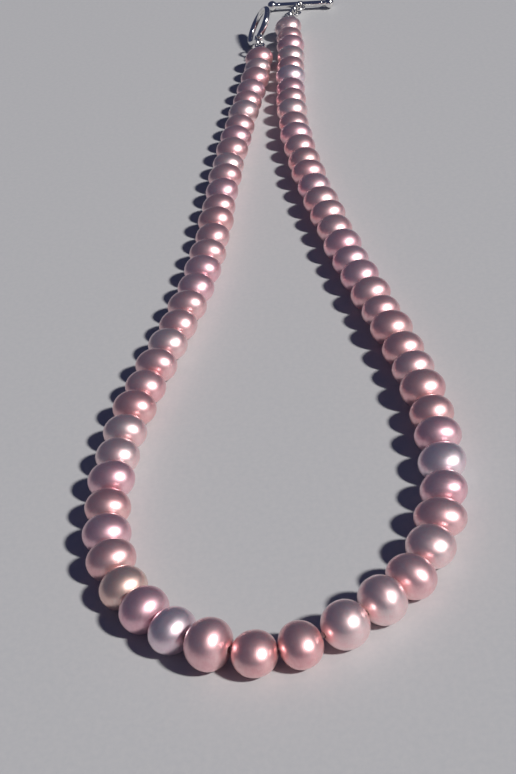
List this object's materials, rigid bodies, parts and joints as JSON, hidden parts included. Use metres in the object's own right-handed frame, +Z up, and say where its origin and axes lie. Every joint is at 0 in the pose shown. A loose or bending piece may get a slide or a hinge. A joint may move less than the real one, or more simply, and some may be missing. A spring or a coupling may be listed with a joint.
{
  "type": "pearl necklace",
  "caption": "Single-strand necklace of rosy freshwater pearls on knotted silk, laid out as a teardrop, with an open silver toggle clasp.",
  "frame": {"origin": "middle of the laid-out necklace, on the surface it lies on", "axes": "+Y from the front pearl towards the clasp, along the necklace's length; +Z up, away from the surface; +X to the right, on the toggle bar's side of the strand"},
  "size_m": [0.057, 0.239, 0.0092],
  "materials": {
    "pearl": "pink to mauve nacre with a soft, deep lustre",
    "silk": "pale pink twisted silk",
    "silver": "polished sterling silver"
  },
  "bodies": {
    "front": {"pearls_front": "pearl", "silk_front": "silk"},
    "strand_left_01": {"pearls_left_01": "pearl", "silk_left_01": "silk"},
    "strand_left_02": {"pearls_left_02": "pearl", "silk_left_02": "silk"},
    "strand_left_03": {"pearls_left_03": "pearl", "silk_left_03": "silk"},
    "strand_left_04": {"pearls_left_04": "pearl", "silk_left_04": "silk"},
    "strand_left_05": {"pearls_left_05": "pearl", "silk_left_05": "silk"},
    "strand_left_06": {"pearls_left_06": "pearl", "silk_left_06": "silk"},
    "strand_left_07": {"pearls_left_07": "pearl", "silk_left_07": "silk"},
    "strand_left_08": {"pearls_left_08": "pearl", "silk_left_08": "silk"},
    "strand_left_09": {"pearls_left_09": "pearl", "silk_left_09": "silk"},
    "strand_left_10": {"pearls_left_10": "pearl", "silk_left_10": "silk"},
    "strand_left_11": {"pearls_left_11": "pearl", "silk_left_11": "silk", "tip_left": "silver"},
    "strand_right_01": {"pearls_right_01": "pearl", "silk_right_01": "silk"},
    "strand_right_02": {"pearls_right_02": "pearl", "silk_right_02": "silk"},
    "strand_right_03": {"pearls_right_03": "pearl", "silk_right_03": "silk"},
    "strand_right_04": {"pearls_right_04": "pearl", "silk_right_04": "silk"},
    "strand_right_05": {"pearls_right_05": "pearl", "silk_right_05": "silk"},
    "strand_right_06": {"pearls_right_06": "pearl", "silk_right_06": "silk"},
    "strand_right_07": {"pearls_right_07": "pearl", "silk_right_07": "silk"},
    "strand_right_08": {"pearls_right_08": "pearl", "silk_right_08": "silk"},
    "strand_right_09": {"pearls_right_09": "pearl", "silk_right_09": "silk"},
    "strand_right_10": {"pearls_right_10": "pearl", "silk_right_10": "silk"},
    "strand_right_11": {"pearls_right_11": "pearl", "silk_right_11": "silk"},
    "strand_right_12": {"pearls_right_12": "pearl", "silk_right_12": "silk", "tip_right": "silver"},
    "link_left": {"link_left": "silver"},
    "toggle_ring": {"toggle_ring": "silver"},
    "link_right_1": {"link_right_1": "silver"},
    "link_right_2": {"link_right_2": "silver"},
    "link_right_3": {"link_right_3": "silver"},
    "link_right_4": {"link_right_4": "silver"},
    "toggle_bar": {"toggle_bar": "silver"}
  },
  "joints": [
    {"name": "link_left_swing", "type": "hinge", "parent": "strand_left_11", "child": "link_left", "pos_m": [-0.00567, 0.08769, 0.00334], "axis": [0, 0, 1], "range_deg": [0, 35]},
    {"name": "toggle_ring_swing", "type": "hinge", "parent": "link_left", "child": "toggle_ring", "pos_m": [-0.00575, 0.09086, 0.0038], "axis": [0, 0, 1], "range_deg": [0, 40]},
    {"name": "link_right_1_swing", "type": "hinge", "parent": "strand_right_12", "child": "link_right_1", "pos_m": [0.00171, 0.10531, 0.00252], "axis": [0, 0, -1], "range_deg": [-15, 40]},
    {"name": "link_right_2_swing", "type": "hinge", "parent": "link_right_1", "child": "link_right_2", "pos_m": [0.00237, 0.10843, 0.00227], "axis": [0, 0, -1], "range_deg": [-15, 40]},
    {"name": "link_right_3_lift", "type": "hinge", "parent": "link_right_2", "child": "link_right_3", "pos_m": [0.00286, 0.11072, 0.00208], "axis": [0.9781, -0.2079, 0], "range_deg": [0, 35]},
    {"name": "link_right_4_swing", "type": "hinge", "parent": "link_right_3", "child": "link_right_4", "pos_m": [0.00335, 0.11301, 0.00189], "axis": [0, 0, -1], "range_deg": [-15, 40]},
    {"name": "toggle_bar_tilt", "type": "hinge", "parent": "link_right_4", "child": "toggle_bar", "pos_m": [0.00384, 0.11531, 0.0017], "axis": [0.9781, -0.2079, 0], "range_deg": [0, 60]},
    {"name": "knot_left_01_bend", "type": "hinge", "parent": "front", "child": "strand_left_01", "pos_m": [-0.0106, -0.11245, 0.00293], "axis": [0, 0, 1], "range_deg": [0, 25]},
    {"name": "knot_left_02_lift", "type": "hinge", "parent": "strand_left_01", "child": "strand_left_02", "pos_m": [-0.02188, -0.09834, 0.00292], "axis": [0.9291, 0.3698, 0], "range_deg": [0, 25]},
    {"name": "knot_left_03_bend", "type": "hinge", "parent": "strand_left_02", "child": "strand_left_03", "pos_m": [-0.02488, -0.08034, 0.00292], "axis": [0, 0, 1], "range_deg": [0, 25]},
    {"name": "knot_left_04_lift", "type": "hinge", "parent": "strand_left_03", "child": "strand_left_04", "pos_m": [-0.02356, -0.06201, 0.00292], "axis": [0.9886, -0.1507, 0], "range_deg": [0, 25]},
    {"name": "knot_left_05_bend", "type": "hinge", "parent": "strand_left_04", "child": "strand_left_05", "pos_m": [-0.01969, -0.04402, 0.00289], "axis": [0, 0, 1], "range_deg": [0, 25]},
    {"name": "knot_left_06_lift", "type": "hinge", "parent": "strand_left_05", "child": "strand_left_06", "pos_m": [-0.01571, -0.02605, 0.00284], "axis": [0.9827, -0.1853, 0], "range_deg": [0, 25]},
    {"name": "knot_left_07_bend", "type": "hinge", "parent": "strand_left_06", "child": "strand_left_07", "pos_m": [-0.01323, -0.00779, 0.00278], "axis": [0, 0, 1], "range_deg": [0, 25]},
    {"name": "knot_left_08_lift", "type": "hinge", "parent": "strand_left_07", "child": "strand_left_08", "pos_m": [-0.01206, 0.01062, 0.00274], "axis": [0.9984, -0.057, 0], "range_deg": [0, 25]},
    {"name": "knot_left_09_bend", "type": "hinge", "parent": "strand_left_08", "child": "strand_left_09", "pos_m": [-0.01078, 0.02904, 0.00272], "axis": [0, 0, 1], "range_deg": [0, 25]},
    {"name": "knot_left_10_lift", "type": "hinge", "parent": "strand_left_09", "child": "strand_left_10", "pos_m": [-0.00892, 0.04743, 0.00273], "axis": [0.9944, -0.1058, 0], "range_deg": [0, 25]},
    {"name": "knot_left_11_bend", "type": "hinge", "parent": "strand_left_10", "child": "strand_left_11", "pos_m": [-0.00683, 0.06581, 0.00272], "axis": [0, 0, 1], "range_deg": [0, 25]},
    {"name": "knot_right_01_bend", "type": "hinge", "parent": "front", "child": "strand_right_01", "pos_m": [0.00682, -0.11395, 0.00296], "axis": [0, 0, -1], "range_deg": [0, 25]},
    {"name": "knot_right_02_lift", "type": "hinge", "parent": "strand_right_01", "child": "strand_right_02", "pos_m": [0.02039, -0.1017, 0.00291], "axis": [0.8865, -0.4627, 0], "range_deg": [0, 25]},
    {"name": "knot_right_03_bend", "type": "hinge", "parent": "strand_right_02", "child": "strand_right_03", "pos_m": [0.02485, -0.08368, 0.00288], "axis": [0, 0, -1], "range_deg": [0, 25]},
    {"name": "knot_right_04_lift", "type": "hinge", "parent": "strand_right_03", "child": "strand_right_04", "pos_m": [0.02395, -0.06496, 0.00288], "axis": [0.9897, 0.1431, 0], "range_deg": [0, 25]},
    {"name": "knot_right_05_bend", "type": "hinge", "parent": "strand_right_04", "child": "strand_right_05", "pos_m": [0.02032, -0.04653, 0.00288], "axis": [0, 0, -1], "range_deg": [0, 25]},
    {"name": "knot_right_06_lift", "type": "hinge", "parent": "strand_right_05", "child": "strand_right_06", "pos_m": [0.01565, -0.02831, 0.00286], "axis": [0.9674, 0.2532, 0], "range_deg": [0, 25]},
    {"name": "knot_right_07_bend", "type": "hinge", "parent": "strand_right_06", "child": "strand_right_07", "pos_m": [0.01132, -0.01, 0.00281], "axis": [0, 0, -1], "range_deg": [0, 25]},
    {"name": "knot_right_08_lift", "type": "hinge", "parent": "strand_right_07", "child": "strand_right_08", "pos_m": [0.00753, 0.00843, 0.00275], "axis": [0.9809, 0.1946, 0], "range_deg": [0, 25]},
    {"name": "knot_right_09_bend", "type": "hinge", "parent": "strand_right_08", "child": "strand_right_09", "pos_m": [0.00444, 0.02698, 0.00271], "axis": [0, 0, -1], "range_deg": [0, 25]},
    {"name": "knot_right_10_lift", "type": "hinge", "parent": "strand_right_09", "child": "strand_right_10", "pos_m": [0.00253, 0.04568, 0.0027], "axis": [0.9981, 0.0619, 0], "range_deg": [0, 25]},
    {"name": "knot_right_11_bend", "type": "hinge", "parent": "strand_right_10", "child": "strand_right_11", "pos_m": [0.00194, 0.06445, 0.0027], "axis": [0, 0, -1], "range_deg": [0, 25]},
    {"name": "knot_right_12_lift", "type": "hinge", "parent": "strand_right_11", "child": "strand_right_12", "pos_m": [0.00188, 0.08322, 0.0027], "axis": [0.9998, 0.0181, 0], "range_deg": [0, 25]}
  ]
}
